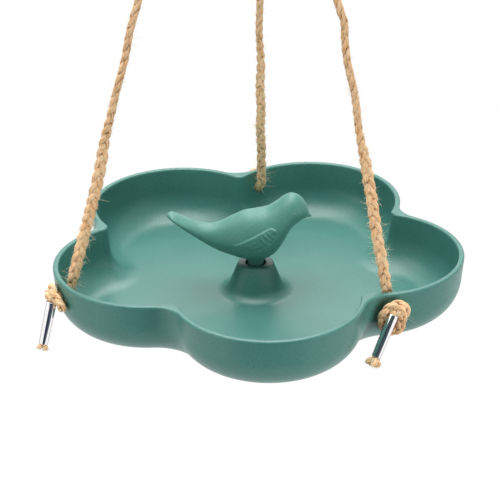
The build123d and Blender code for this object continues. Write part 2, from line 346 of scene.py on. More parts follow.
def moulded_plastic(name, dark, light, roughness):
    """Matte moulded plastic: a slow drift of colour, a cloudy gloss and a fine spark-eroded grain."""
    made, tree, shader, node = new_material(name)
    place = node("TexCoord").outputs["Object"]
    drift = node("TexNoise", {"Vector": place, "Scale": 26, "Detail": 4, "Roughness": 0.6}).outputs["Fac"]
    colour = ramp(node, drift, (0.3, dark), (0.7, light))
    grain = node("TexNoise", {"Vector": place, "Scale": 1500, "Detail": 3, "Roughness": 0.75}).outputs["Fac"]
    speck = ramp(node, grain, (0.34, (0.80, 0.82, 0.82)), (0.68, (1.28, 1.22, 1.22)))
    tree.links.new(multiplied(node, colour, speck), shader.inputs["Base Color"])
    cloud = node("TexNoise", {"Vector": place, "Scale": 70, "Detail": 5, "Roughness": 0.65}).outputs["Fac"]
    rough = node("MapRange", {"Value": cloud, "To Min": roughness - 0.05, "To Max": roughness + 0.06})
    tree.links.new(rough.outputs["Result"], shader.inputs["Roughness"])
    bump = node("Bump", {"Height": grain, "Strength": 0.25, "Distance": 0.00012})
    tree.links.new(bump.outputs["Normal"], shader.inputs["Normal"])
    shader.inputs["IOR"].default_value = 1.5
    return made


dish_green = moulded_plastic("dish_green", (0.052, 0.190, 0.158), (0.061, 0.211, 0.175), 0.34)


def finish_piece(piece, material, body, slot, *nodes):
    """Gives a piece its material and the body that it rides on, and hides the nodes that it stands for; the
    slot is not used.
    """
    piece.data.materials.clear()
    piece.data.materials.append(material)
    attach(piece, body)
    if nodes:
        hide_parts(*nodes)
    return piece


finish_piece(dish, dish_green, "feeder", "dish_plastic", "tray")

# Bird
# A moulded figure in the same plastic, painted lighter than the dish for the stronger light on it, with wings
# and feather strokes raised on both sides. Its round peg stands in the boss's socket and its spigot turns in
# the web, held from below by the screw.
bird_heading = radians(-24)
bird_ahead = np.array([cos(bird_heading), sin(bird_heading), 0])
bird_aside = np.array([-sin(bird_heading), cos(bird_heading), 0])
peg_radius = 0.0048
spigot_radius = 0.0034
spigot_past_web = 0.0002
peg_seat_gap = 0.00004
peg_top_drop = 0.004
bird_pear = 0.14
wing_reach = 0.016
wing_raise = 0.00075
wing_edge_soft = 0.0004
wing_depth = 0.008
wing_fades = ((0, 0.10), (0.75, 1))
stroke_raise = 0.00042
stroke_width = 0.00042
eye_raise = 0.00045
eye_radius = 0.0008
eye_at = np.array([0.0229, 0.0214])

# Body from tail to beak, in millimetres: along, centre above the rim, half the height, half the width
bird_stations = np.array([
    (-53.0, 16.9, 0.0, 0.0),
    (-52.3, 16.9, 0.9, 2.2),
    (-51.0, 16.8, 1.8, 4.2),
    (-48.0, 15.4, 2.5, 6.1),
    (-44.5, 13.2, 3.0, 6.7),
    (-38.5, 9.7, 4.1, 6.9),
    (-32.5, 6.5, 5.4, 7.0),
    (-26.5, 4.2, 7.2, 7.5),
    (-20.5, 3.5, 9.6, 8.7),
    (-14.0, 4.0, 12.4, 10.6),
    (-7.0, 4.6, 15.0, 12.6),
    (0.5, 5.0, 16.0, 13.7),
    (8.0, 6.9, 15.9, 13.7),
    (13.0, 10.7, 15.4, 13.2),
    (17.0, 15.5, 13.8, 12.2),
    (20.0, 19.2, 11.6, 10.6),
    (23.0, 20.9, 9.9, 9.1),
    (26.0, 21.4, 8.0, 7.4),
    (28.7, 20.8, 5.6, 5.4),
    (30.1, 19.8, 4.0, 4.0),
    (31.0, 18.5, 2.7, 2.9),
    (31.6, 17.5, 1.7, 2.1),
    (32.5, 16.8, 0.9, 1.2),
    (33.4, 16.5, 0.0, 0.0),
]) / 1000

# Wing's upper edge and the feather strokes, in millimetres along the body and above the rim
wing_edge = np.array([
    (-15.0, 1.2), (-4.0, 6.9), (6.2, 12.35), (8.9, 13.8), (12.0, 13.0), (13.0, 10.0),
]) / 1000
feather_strokes = [
    [(4.7, 10.3), (7.4, 7.3), (9.8, 6.2)],
    [(3.2, 7.6), (5.6, 4.9), (8.6, 3.3)],
    [(7.4, 11.0), (10.6, 8.3)],
    [(-6.4, 2.3), (-2.8, 3.3), (-0.4, 4.9)],
    [(-3.7, 1.1), (0.2, 1.9), (4.1, 4.3)],
    [(1.4, -0.3), (4.4, 0.3), (6.2, 1.3)],
]


def smooth_step(low, high, value):
    """Rises smoothly from 0 at low to 1 at high."""
    share = np.clip((value - low) / (high - low), 0, 1)
    return share * share * (3 - 2 * share)


def through_stations(place, at, values):
    """Values at the places, on a cubic curve through the stations with the gradient as its slope there."""
    slope = np.gradient(values, at, axis=0)
    before = np.clip(np.searchsorted(at, place) - 1, 0, len(at) - 2)
    gap = (at[before + 1] - at[before])[:, None]
    share = ((place - at[before]) / gap[:, 0])[:, None]
    start, end = values[before], values[before + 1]
    lean = gap * (slope[before] * (1 - share) - slope[before + 1] * share)
    rise = end - start
    blend = share * share * (3 - 2 * share)
    return start + rise * blend + share * (1 - share) * lean


def line_offset(spots, line):
    """Distance of the spots from a line of straight pieces, which side they lie on (1 on its right), and
    how far along the line the nearest point is, from 0 to 1."""
    start, step = line[:-1], np.diff(line, axis=0)
    reach = spots[..., None, :] - start
    share = np.clip((reach * step).sum(-1) / (step**2).sum(-1), 0, 1)
    away = reach - share[..., None] * step
    gap = np.linalg.norm(away, axis=-1)
    nearest = gap.argmin(-1)[..., None]
    side = np.sign(reach[..., 1] * step[:, 0] - reach[..., 0] * step[:, 1])
    pick = [np.take_along_axis(part, nearest, -1)[..., 0] for part in (gap, -side, share)]
    return pick[0], pick[1], (pick[2] + nearest[..., 0]) / len(step)


tail_end, beak_end = bird_stations[[0, -1], 0]
bird_along = np.unique(np.concatenate([
    np.linspace(tail_end, -wing_reach, 70),
    np.linspace(-wing_reach, wing_reach, 150),
    np.linspace(wing_reach, beak_end, 90),
]))
bird_form = through_stations(bird_along, bird_stations[:, 0], bird_stations[:, 1:])
bird_middle, bird_half_height, bird_half_width = (column[:, None] for column in np.maximum(bird_form, 0).T)
bird_turn = full_turn(240)[None]
bird_out = bird_half_width * np.cos(bird_turn) * (1 - bird_pear * np.sin(bird_turn))
bird_up = bird_middle + bird_half_height * np.sin(bird_turn)
flank = np.stack(np.broadcast_arrays(bird_along[:, None], bird_up), -1)
gap, side, share = line_offset(flank, wing_edge)
under = gap * side
raised = wing_raise * smooth_step(-wing_edge_soft, wing_edge_soft, under)
raised *= 1 - smooth_step(0, wing_depth, under)
raised *= smooth_step(*wing_fades[0], share) * (1 - smooth_step(*wing_fades[1], share))
for stroke in feather_strokes:
    gap = line_offset(flank, np.array(stroke) / 1000)[0]
    raised += stroke_raise * np.exp(-((gap / stroke_width) ** 2))
eye_gap = np.linalg.norm(flank - eye_at, axis=-1)
raised += eye_raise * np.sqrt(np.clip(1 - (eye_gap / eye_radius) ** 2, 0, 1))
slant = np.hypot(bird_half_height * np.cos(bird_turn), bird_half_width * np.sin(bird_turn)) + 1e-9
bird_out = bird_out + raised * bird_half_height * np.cos(bird_turn) / slant
bird_up = bird_up + raised * bird_half_width * np.sin(bird_turn) / slant
bird_points = (
    bird_along[:, None, None] * bird_ahead
    + bird_out[..., None] * bird_aside
    + (rim_z + bird_up)[..., None] * np.array([0, 0, 1])
)
bird = skin("bird_body", [bird_points], sharp=60)
# Painted light: the dish's plastic, painted lighter for the stronger light that falls on the bird
lit_bird_green = moulded_plastic("lit_bird_green", (0.074, 0.238, 0.195), (0.087, 0.269, 0.221), 0.42)
finish_piece(bird, lit_bird_green, "bird", "bird_plastic", "bird")

peg_radii = [0, peg_radius, peg_radius, peg_radius - edge_break, spigot_radius, spigot_radius, 0]
peg_top_z = rim_z - peg_top_drop
peg_seat_z = web_top_z + peg_seat_gap
spigot_low_z = web_low_z - spigot_past_web
peg_heights = [peg_top_z, peg_top_z, peg_seat_z + edge_break, peg_seat_z, peg_seat_z]
peg_heights += [spigot_low_z, spigot_low_z]
peg = skin("bird_peg", [turned(peg_radii, peg_heights, full_turn(96))])
finish_piece(peg, lit_bird_green, "bird", "bird_plastic")

# Washer and screw
# Zinc-plated steel. The screw goes up through the washer into the bird's spigot and carries the bird's
# weight off the web's underside; only the dish's hollow underside shows them.
zinc, tree, shader, node = new_material("zinc")
place = node("TexCoord").outputs["Object"]
spangle = node("TexNoise", {"Vector": place, "Scale": 900, "Detail": 3}).outputs["Fac"]
zinc_grey = ramp(node, spangle, (0.3, (0.42, 0.43, 0.45)), (0.7, (0.62, 0.63, 0.65)))
tree.links.new(zinc_grey, shader.inputs["Base Color"])
worn = node("MapRange", {"Value": spangle, "To Min": 0.28, "To Max": 0.45})
tree.links.new(worn.outputs["Result"], shader.inputs["Roughness"])
shader.inputs["Metallic"].default_value = 1
for name in ("bird_washer", "bird_screw"):
    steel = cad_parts[name]
    steel.data.materials.clear()
    steel.data.materials.append(zinc)

# Ropes
# Three ropes of jute, each plaited from three twisted strands. Each leads from its stopper knot through
# the wall, round the hole's edge and straight up to the gathering knot, taut under the dish's weight.
rope_diameter = 0.0052
plait_period = 0.0200
plait_wide = 0.00195
plait_deep = 0.00124
strand_wide = 0.00175
strand_deep = 0.00150
strand_lay = 0.0080
strand_yarns = 4
yarns_in_lay = 3
strand_lobes = 0.11
strand_girth = 0.0100
pace_wander = 0.6
pace_wave = 0.07
fat_wander = 0.07
fat_wave = 0.025
press_from = 0.50
# Painted shade of the plait: the bulges over which it fades out, how much a broad stretch lightens it, and
# how deep it goes in the yarns' grooves
crease_shade_bulge = (0.45, 0.86)
crease_shade_fill = 1.7
groove_shade = 0.28
view_heading = radians(65.837)
photo_across = np.array([sin(view_heading), -cos(view_heading), 0])
face_turns = (0.080, 0.125)
face_wander = 0.2
face_wave = 0.12
rope_step = 0.0009
rope_wander = 0.0004
rope_wave = 0.045
rope_held = (0.02, 0.06)
broad_from = (0.012, 0.025)
rope_fibres = 1500
fuzz_radius = 0.000075
fuzz_root = 0.4
fuzz_lie = 1.3
fuzz_curl = 0.9

# Each route's points, in metres: end in the knot, turn inside the wall, start of the straight, top
rope_routes = {
    "left": [
        (-0.12654, 0, -0.46125), (-0.11864, 0, -0.46125), (-0.11613, 0, -0.45219), (-0.00456, 0, -0.04875),
    ],
    "back": [
        (0.04220, 0.09646, -0.46125), (0.04407, 0.08878, -0.46125), (0.04313, 0.08689, -0.45209),
        (0.00170, 0.00342, -0.04875),
    ],
    "right": [
        (0.04220, -0.09646, -0.46125), (0.04407, -0.08878, -0.46125), (0.04313, -0.08689, -0.45209),
        (0.00170, -0.00342, -0.04875),
    ],
}


def unit(vectors):
    """The vectors at length 1."""
    return vectors / np.maximum(np.linalg.norm(vectors, axis=-1, keepdims=True), 1e-12)


def spline_line(name, points, step):
    """Points at even steps along the NURBS spline of order 3 that a route's points draw."""
    curve = bpy.data.curves.new(name, "CURVE")
    curve.dimensions = "3D"
    curve.resolution_u = 48
    spline = curve.splines.new("NURBS")
    spline.points.add(len(points) - 1)
    spline.points.foreach_set("co", np.column_stack([points, np.ones(len(points))]).ravel())
    spline.order_u = 3
    spline.use_endpoint_u = True
    holder = bpy.data.objects.new(name, curve)
    drawn = bpy.data.meshes.new_from_object(holder)
    line = np.empty(3 * len(drawn.vertices), np.float32)
    drawn.vertices.foreach_get("co", line)
    line = line.reshape(-1, 3).astype(float)
    bpy.data.objects.remove(holder)
    bpy.data.curves.remove(curve)
    bpy.data.meshes.remove(drawn)
    along = run_length(line)
    even = np.linspace(0, along[-1], round(along[-1] / step) + 1)
    return np.stack([np.interp(even, along, line[:, axis]) for axis in range(3)], 1)


def slow_waves(along, seed, wave):
    """A smooth wander between about -1 and 1 along a length: five sines of seeded phase and pace."""
    dice = np.random.default_rng(seed)
    pace = 2 * pi / wave * dice.uniform(0.5, 1.6, 5)
    return np.sin(along[:, None] * pace + dice.uniform(0, 2 * pi, 5)).sum(-1) / 2.5


def plait(name, path, across, size=1.0, seed=0, sides=24, press_from=press_from, broad=1.0):
    """Three strands plaited along a path. Each strand's centre swings across by a sine and in and out by a
    sine of twice the pace, a third of a period apart; its section is an oval with twisted yarns for lobes.
    What bulges out of the plait's own oval is pressed back towards it, as a tight plait is. Its shade is
    painted shade: 1 where the surface lies on the plait's outside, 0 deep between the strands, and lower in
    the grooves between the yarns. Broad, over 1, widens the plait and lightens the painted shade of its
    creases."""
    along = run_length(path)
    ahead = unit(np.gradient(path, axis=0))
    across = unit(across - (across * ahead).sum(-1, keepdims=True) * ahead)
    inward = np.cross(ahead, across)
    pace = 2 * pi * along / (plait_period * size) + pace_wander * slow_waves(along, seed, pace_wave)
    turn = full_turn(sides)
    spare = 1 - press_from
    closed = crease_shade_fill * np.reshape(broad - 1, (-1, 1))
    sheets, shades = [], []
    for strand in range(3):
        swing = pace + 2 * pi * strand / 3
        fat = size * (1 + fat_wander * slow_waves(along, seed + strand + 1, fat_wave))
        left = plait_wide * size * broad * np.sin(swing)
        deep = plait_deep * size * np.sin(2 * swing)
        centre = path + left[:, None] * across + deep[:, None] * inward
        run = unit(np.gradient(centre, axis=0))
        flat = unit(np.cross(inward, run))
        thick = np.cross(run, flat)
        twist = 2 * pi * yarns_in_lay * along[:, None] / (strand_lay * size)
        lobe = 1 + strand_lobes * np.cos(strand_yarns * turn - twist)
        out_flat = strand_wide * fat[:, None] * lobe * np.cos(turn)
        out_thick = strand_deep * fat[:, None] * lobe * np.sin(turn)
        reach = centre[:, None] + out_flat[..., None] * flat[:, None] + out_thick[..., None] * thick[:, None]
        reach -= path[:, None]
        reach_across = (reach * across[:, None]).sum(-1) / (plait_wide + strand_wide)
        reach_across = reach_across / np.reshape(broad, (-1, 1))
        reach_inward = (reach * inward[:, None]).sum(-1) / (plait_deep + strand_deep)
        bulge = np.hypot(reach_across, reach_inward) / size
        pressed = press_from + spare * (1 - np.exp(-np.maximum(bulge - press_from, 0) / spare))
        ring = path[:, None] + reach * (np.where(bulge > press_from, pressed, bulge) / bulge)[..., None]
        ends = [np.repeat(centre[end, None, None], sides, 1) for end in (0, -1)]
        sheets.append(np.concatenate([ends[0], ring, ends[1]]))
        # Painted shade: dark deep between the strands and in the grooves between the yarns, lighter where the
        # plait lies broad
        groove = smooth_step(-1.0, 0.4, (lobe - 1) / strand_lobes)
        shade = smooth_step(*crease_shade_bulge, bulge) * (1 - groove_shade + groove_shade * groove)
        shades.append(np.pad(shade + (1 - shade) * closed, ((1, 1), (0, 0))))
    shade = np.concatenate([part.ravel() for part in shades])
    return skin(name, sheets, girth=strand_girth, shade=shade, sharp=180)


def between(turn, first, second):
    """Directions at the turns from the first way towards the second."""
    return np.cos(turn)[..., None] * first + np.sin(turn)[..., None] * second


def fibres(name, roots, ways, reach, bend, radius, points=6, sides=3):
    """Loose fibres: each leaves its root along its way, curls off along its bend, and tapers at both ends."""
    share = np.linspace(0, 1, points)[None, :, None]
    line = roots[:, None] + reach[:, None, None] * (share * ways[:, None] + share**2 * bend[:, None])
    ahead = unit(np.gradient(line, axis=1))
    slanting = np.array([0.36, 0.48, 0.80])
    flat = unit(np.cross(ahead, slanting))
    thick = np.cross(ahead, flat)
    turn = full_turn(sides)
    thin = radius * np.array([0, *[1] * (points - 3), 0.7, 0])[None, :, None, None]
    ring = line[:, :, None] + thin * between(turn, flat[:, :, None], thick[:, :, None])
    keep = np.ones((len(roots) * points - 1, sides), bool)
    keep[points - 1 :: points] = False
    return skin(name, [ring.reshape(-1, sides, 3)], [keep], sharp=180)


def rope_fuzz(name, path, count, seed, longest=0.0042, near_start=5.5):
    """Loose fibres that stand off a rope, most of them near its start and lying back along it."""
    dice = np.random.default_rng(seed)
    ahead = unit(np.gradient(path, axis=0))
    share = np.concatenate([[0, 1], dice.beta(1, near_start, count - 2)])
    spot = (1 + share * (len(path) - 3)).astype(int)
    out = unit(np.cross(ahead[spot], dice.normal(size=(count, 3))))
    roots = path[spot] + out * fuzz_root * rope_diameter
    ways = unit(out + ahead[spot] * dice.normal(0, fuzz_lie, (count, 1)))
    bend = fuzz_curl * dice.normal(size=(count, 3))
    return fibres(name, roots, ways, longest * dice.beta(1.6, 3.5, count), bend, fuzz_radius)


def jute_fibre(name, dark, middle, light):
    """Jute: fibres drawn out along the strand and laid at its twist, with painted shade between the strands,
    and a little painted shade all over further up the rope, for the weaker light there than near the dish."""
    made, tree, shader, node = new_material(name)
    spot = node("SeparateXYZ", {"Vector": node("UVMap", uv_map="along").outputs["UV"]}).outputs
    twist = node("Math", {0: spot["X"], 1: 0.45}, operation="MULTIPLY").outputs[0]
    round_it = node("Math", {0: spot["Y"], 1: twist}, operation="ADD").outputs[0]
    drawn = node("CombineXYZ", {"X": spot["X"], "Y": round_it}).outputs[0]
    scaled = node("VectorMath", {0: drawn, 1: (150, 1000, 1)}, operation="MULTIPLY").outputs[0]
    hair = node("TexNoise", {"Vector": scaled, "Scale": 1, "Detail": 5, "Roughness": 0.7}).outputs["Fac"]
    place = node("TexCoord").outputs["Object"]
    patch = node("TexNoise", {"Vector": place, "Scale": 240, "Detail": 3}).outputs["Fac"]
    tone = node("Mix", {"Factor": 0.25, "A": hair, "B": patch}).outputs["Result"]
    colour = ramp(node, tone, (0.34, dark), (0.64, light), (0.47, middle))
    # Painted shade: the shade attribute, made uneven by the patches, darkens the colour deep between the
    # strands
    shade = node("Attribute", attribute_name="shade").outputs["Fac"]
    blot = node("MapRange", {
        "Value": patch, "From Min": 0.3, "From Max": 0.7, "To Min": -0.15, "To Max": 0.35,
    }).outputs["Result"]
    uneven = node("Math", {0: shade, 1: blot}, operation="ADD").outputs[0]
    depth = ramp(node, uneven, (0.0, (0.28, 0.15, 0.08)), (0.62, (1.0, 1.0, 1.0)))
    crease_shaded = multiplied(node, colour, depth)
    # Painted shade: the colour darkens from 6 to 15 cm along the rope, for the weaker light further from the
    # dish
    painted_upward_shade = node("MapRange", {
        "Value": spot["X"], "From Min": 0.06, "From Max": 0.15, "To Min": 1.0, "To Max": 0.84,
    }).outputs["Result"]
    tree.links.new(multiplied(node, crease_shaded, painted_upward_shade), shader.inputs["Base Color"])
    bump = node("Bump", {"Height": hair, "Strength": 0.8, "Distance": 0.00030})
    tree.links.new(bump.outputs["Normal"], shader.inputs["Normal"])
    shader.inputs["Roughness"].default_value = 0.85
    shader.inputs["Specular IOR Level"].default_value = 0.25
    shader.inputs["Subsurface Weight"].default_value = 0.4
    shader.inputs["Subsurface Radius"].default_value = (1.0, 0.7, 0.45)
    shader.inputs["Subsurface Scale"].default_value = 0.0012
    return made


jute = jute_fibre("jute", (0.37, 0.165, 0.068), (0.87, 0.545, 0.292), (0.96, 0.755, 0.510))
fuzz_jute, tree, shader, node = new_material("fuzz_jute")
place = node("TexCoord").outputs["Object"]
tint = node("TexNoise", {"Vector": place, "Scale": 300, "Detail": 2}).outputs["Fac"]
fuzz_straw = ramp(node, tint, (0.35, (0.92, 0.74, 0.48)), (0.65, (1.0, 0.92, 0.74)))
tree.links.new(fuzz_straw, shader.inputs["Base Color"])
shader.inputs["Roughness"].default_value = 0.8

# Small bends in two ropes: how far up the rope each is, how far it reaches and how far it stands out
rope_bends = {"left": (0.062, 0.022, 0.0012), "right": (0.1745, 0.0055, 0.0010)}

# How much broader each rope lies near the dish, where its flat face shows
rope_broader = {"left": 0.25, "back": 0.0, "right": 0.20}

rope_with = {}
for seed, (name, route) in enumerate(rope_routes.items()):
    path = spline_line("route_" + name, route, rope_step)
    along = np.linspace(0, rope_step * len(path), len(path))
    held = smooth_step(*rope_held, along) * smooth_step(*rope_held, along[::-1])
    aside = rope_wander * held * slow_waves(along, 30 + seed, rope_wave)
    if name in rope_bends:
        bend_at, bend_reach, bend_out = rope_bends[name]
        aside = aside + bend_out * np.exp(-(((along - bend_at) / bend_reach) ** 2))
    path = path + aside[:, None] * photo_across
    turned_side = smooth_step(*face_turns, along)
    turn = (pi / 2 * turned_side + face_wander * slow_waves(along, 5 + seed, face_wave))[:, None]
    ahead = unit(np.gradient(path, axis=0))
    level = unit(photo_across - (photo_across * ahead).sum(-1, keepdims=True) * ahead)
    across = level * np.cos(turn) + np.cross(ahead, level) * np.sin(turn)
    broad = 1 + rope_broader[name] * smooth_step(*broad_from, along) * (1 - turned_side)
    rope = plait("plait_" + name, path, across, seed=10 * seed, broad=broad)
    finish_piece(rope, jute, "feeder", "jute", "rope_" + name)
    fuzz = rope_fuzz("fuzz_" + name, path, rope_fibres, 50 + seed)
    rope_with[name] = [finish_piece(fuzz, fuzz_jute, "feeder", "jute")]

# Stopper knots
# The rope's own end, tied in an overhand knot against the wall's outside so that it can't pull through.
# The route goes once round behind, once round in front, and out through the middle.
knot_size = 0.94
knot_press = 0.86
knot_step = 0.0006
knot_fibres = 160
knot_fibre_reach = 0.0045

# Points of each knot, in millimetres along the wall, up, and out from the hole's mouth
knot_routes = {
    "left": [
        (0.0, 0.0, -4.2), (0.0, 0.2, -0.8), (-2.6, 0.2, 1.9), (-6.0, 1.2, 2.4), (-5.0, 4.4, 3.0),
        (-0.8, 5.6, 4.3), (3.2, 2.8, 4.6), (7.2, 0.9, 3.2), (10.2, -1.4, 2.3), (7.6, -3.0, 1.8),
        (3.6, -1.8, 1.6), (-1.0, -1.2, 2.0), (-5.0, -1.8, 3.4), (-5.4, -0.2, 4.8), (-3.2, 1.9, 6.2),
        (0.4, 1.8, 6.5), (2.3, -0.4, 5.6),
    ],
    "right": [
        (0.0, 0.0, -4.2), (0.6, -0.4, 0.2), (3.4, -2.6, 2.0), (6.4, -3.0, 2.4), (7.4, 1.4, 3.2),
        (5.0, 5.1, 4.4), (1.1, 6.2, 5.0), (-3.4, 3.9, 5.0), (-6.3, -0.8, 4.5), (-6.3, -6.0, 4.0),
        (-2.8, -10.6, 3.6), (1.6, -11.0, 4.4), (4.2, -7.2, 5.5), (4.4, -1.4, 6.4), (3.8, 2.6, 6.3),
        (2.2, 4.2, 6.4), (0.5, 2.6, 6.6), (-0.5, 0.6, 6.9),
    ],
}
knot_routes["back"] = [(-aside, rise, out) for aside, rise, out in knot_routes["right"]]

# Where each tail starts, in millimetres as above, and its lean outwards, along the wall and down
tail_starts = {
    "left": ((2.4, 1.6, 5.6), (7.3, 2.0, 26.0)),
    "back": ((0.0, -3.6, 6.9), (4.0, 0.0, 26.5)),
    "right": ((0.4, 2.4, 6.2), (8.6, -12.0, 21.4)),
}
upward = np.array([0, 0, 1.0])
tail_places = {}
for seed, name in enumerate(rope_routes):
    outward = hole_outward[name]
    along = np.cross(upward, outward)
    ways = np.array([along, upward, outward]) / 1000
    path = spline_line("knot_route_" + name, hole_mouth[name] + np.array(knot_routes[name]) @ ways, knot_step)
    face = np.cross(outward, unit(np.gradient(path, axis=0)))
    knot = plait("knot_plait_" + name, path, face, knot_size, 20 + 10 * seed, press_from=knot_press)
    rope_with[name].append(finish_piece(knot, jute, "feeder", "jute", "knot_" + name))
    fuzz = rope_fuzz("knot_fuzz_" + name, path, knot_fibres, 80 + seed, knot_fibre_reach, 1)
    rope_with[name].append(finish_piece(fuzz, fuzz_jute, "feeder", "jute"))
    start, lean = tail_starts[name]
    tail_line = unit((lean * np.array([1, 1, -1])) @ np.array([outward, along, upward]))
    tail_places[name] = (hole_mouth[name] + np.array(start) @ ways, tail_line)

# Tails and sleeves
# Below each knot the rope's end runs through a thin bright metal sleeve, pressed on to stop it fraying,
# and its three strands stick out of the sleeve as a short frayed tip.
sleeve_start = 0.002
sleeve_length = 0.026
sleeve_top_radius = 0.0030
sleeve_low_radius = 0.00265
sleeve_wall = 0.00035
strand_apart = 0.0010
strand_radius = 0.00095
tip_lobes = 0.10
tip_twist = 900
tip_fibres = 90
tip_inside = 0.001
inside_points = 30
tip_points = 40
fray_reach = (0.0005, 0.0015)

# Each tip's length, how far its strands spread, and how thick they swell
tips = {"left": (0.0042, 0.0019, 0.0015), "back": (0.0048, 0.0022, 0.0017), "right": (0.0058, 0.0027, 0.0021)}
tip_turns = {"left": (165, 20, 265), "back": (165, 20, 265), "right": (165, 20, 265, 215, 320, 90)}
bright_metal, tree, shader, node = new_material("bright_metal")
place = node("TexCoord").outputs["Object"]
smear = node("TexNoise", {"Vector": place, "Scale": 160, "Detail": 3}).outputs["Fac"]
polish = node("MapRange", {"Value": smear, "To Min": 0.05, "To Max": 0.13})
tree.links.new(polish.outputs["Result"], shader.inputs["Roughness"])
shader.inputs["Base Color"].default_value = (0.94, 0.925, 0.93, 1)
# Painted shade: the dark specular tint darkens the reflection at grazing angles, a dark line along the edges
# of the sleeves and the ring
shader.inputs["Specular Tint"].default_value = (0.25, 0.20, 0.23, 1)
shader.inputs["Metallic"].default_value = 1


def about_line(origin, line, aside, radii, distances, columns=64):
    """Surface of revolution about a line from the origin: radii at distances along it."""
    turn = full_turn(columns)
    around = between(turn, aside, np.cross(line, aside))
    return origin + np.asarray(distances)[:, None, None] * line + np.asarray(radii)[:, None, None] * around


# Sleeve's section: round lips at both ends of a thin wall that narrows downwards
end = sleeve_start + sleeve_length
half_wall = sleeve_wall / 2
lip_turn = np.linspace(-pi / 2, pi / 2, 7)
top_lip_radii = sleeve_top_radius - half_wall + half_wall * np.sin(lip_turn)
top_lip_places = sleeve_start + half_wall - half_wall * np.cos(lip_turn)
low_lip_radii = sleeve_low_radius - half_wall - half_wall * np.sin(lip_turn)
low_lip_places = end - half_wall + half_wall * np.cos(lip_turn)
sleeve_radii = np.concatenate([top_lip_radii, low_lip_radii, top_lip_radii[:1]])
sleeve_places = np.concatenate([top_lip_places, low_lip_places, top_lip_places[:1]])
turn = full_turn(24)
for seed, (name, (origin, line)) in enumerate(tail_places.items()):
    aside = unit(photo_across - (photo_across @ line) * line)
    behind = np.cross(line, aside)
    sleeve = skin("sleeve_tube_" + name, [about_line(origin, line, aside, sleeve_radii, sleeve_places)])
    finish_piece(sleeve, bright_metal, "feeder", "sleeve_metal", "sleeve_" + name)
    dice = np.random.default_rng(90 + seed)
    tip_length, tip_spread, tip_swell = tips[name]
    around = between(turn, aside, behind)
    sheets, shades, roots, ways = [], [], [], []
    for angle in np.radians(tip_turns[name]):
        reach = tip_length * dice.uniform(0.82, 1.0)
        inside = np.linspace(-tip_inside, end - tip_inside, inside_points)
        along = np.concatenate([inside, end + reach * np.linspace(0, 1, tip_points)])
        out = between(angle, aside, behind)
        spread = smooth_step(end - tip_inside, end + 0.9 * reach, along)
        spread = strand_apart + (tip_spread - strand_apart) * spread
        centre = origin + along[:, None] * line + spread[:, None] * out
        swell = smooth_step(end - tip_inside / 2, end + 0.5 * reach, along)
        swell = strand_radius + (tip_swell - strand_radius) * swell
        swell *= np.sqrt(1 - np.clip((along - end - 0.55 * reach) / (0.45 * reach), 0, 1) ** 2)
        lobe = 1 + tip_lobes * np.cos(strand_yarns * turn - along[:, None] * tip_twist + angle)
        ring = (swell[:, None] * lobe)[..., None] * around
        first = np.repeat(centre[:1, None], len(turn), 1)
        sheets.append(np.concatenate([first, centre[:, None] + ring]))
        # Painted shade in the grooves between the yarns of each tip strand
        shades.append(np.pad(0.55 + 0.45 * smooth_step(-0.1, 0.06, lobe - 1), ((1, 0), (0, 0))).ravel())
        brush = dice.uniform(0, 2 * pi, tip_fibres)
        spot = dice.integers(inside_points + 10, inside_points + 36, tip_fibres)
        side = between(brush, aside, behind)
        roots.append(centre[spot] + 0.85 * swell[spot, None] * side)
        ways.append(unit(line + 0.7 * side + 0.3 * out + 0.3 * dice.normal(size=(tip_fibres, 3))))
    tail = skin("tail_strands_" + name, sheets, girth=strand_girth, shade=np.concatenate(shades), sharp=60)
    rope_with[name] += [sleeve, finish_piece(tail, jute, "feeder", "jute", "tail_" + name)]
    roots, ways = np.concatenate(roots), np.concatenate(ways)
    fray = fibres(
        "tail_fray_" + name, roots, ways, dice.uniform(*fray_reach, len(roots)),
        0.35 * dice.normal(size=roots.shape), fuzz_radius,
    )
    rope_with[name].append(finish_piece(fray, fuzz_jute, "feeder", "jute"))

# Gathering knot
# The three ropes' ends tied in one knot under the ring: a woven head of the same rope round the bundle.
# The rope ends inside it are one core, painted dark as the shade inside the knot, seen between the turns.
top_low, top_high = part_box("top_knot")
top_knot_z = (top_low.z + top_high.z) / 2
head_radius = 0.0066
head_weave = 0.0016
head_half_height = 0.0086
head_bights = 5
head_leads = 3
head_size = 0.84
core_radius = 0.0058
core_half_height = 0.0105
lap = np.linspace(0, 2 * pi * head_leads, 900)
weave = head_bights * lap / head_leads
head_plan = (head_radius + head_weave * np.sin(2 * weave)) * np.exp(1j * lap)
head_path = lifted(head_plan, top_knot_z + head_half_height * np.sin(weave))
head_out = lifted(np.exp(1j * lap), 0.0)
head_across = np.cross(head_out, unit(np.gradient(head_path, axis=0)))
top_knot = plait("gathering_knot", head_path, head_across, head_size, 60)
finish_piece(top_knot, jute, "feeder", "jute", "top_knot")
core_turn = np.linspace(-pi / 2, pi / 2, 24)
core_heights = top_knot_z + core_half_height * np.sin(core_turn)
core = turned(core_radius * np.cos(core_turn), core_heights, full_turn(48))
# Painted shade: a shade of 0.35 darkens the whole core, as the shadow inside the knot
knot_core = skin("gathering_core", [core], girth=0.02, shade=np.full(core.shape[:2], 0.35), sharp=180)
finish_piece(knot_core, jute, "feeder", "jute")

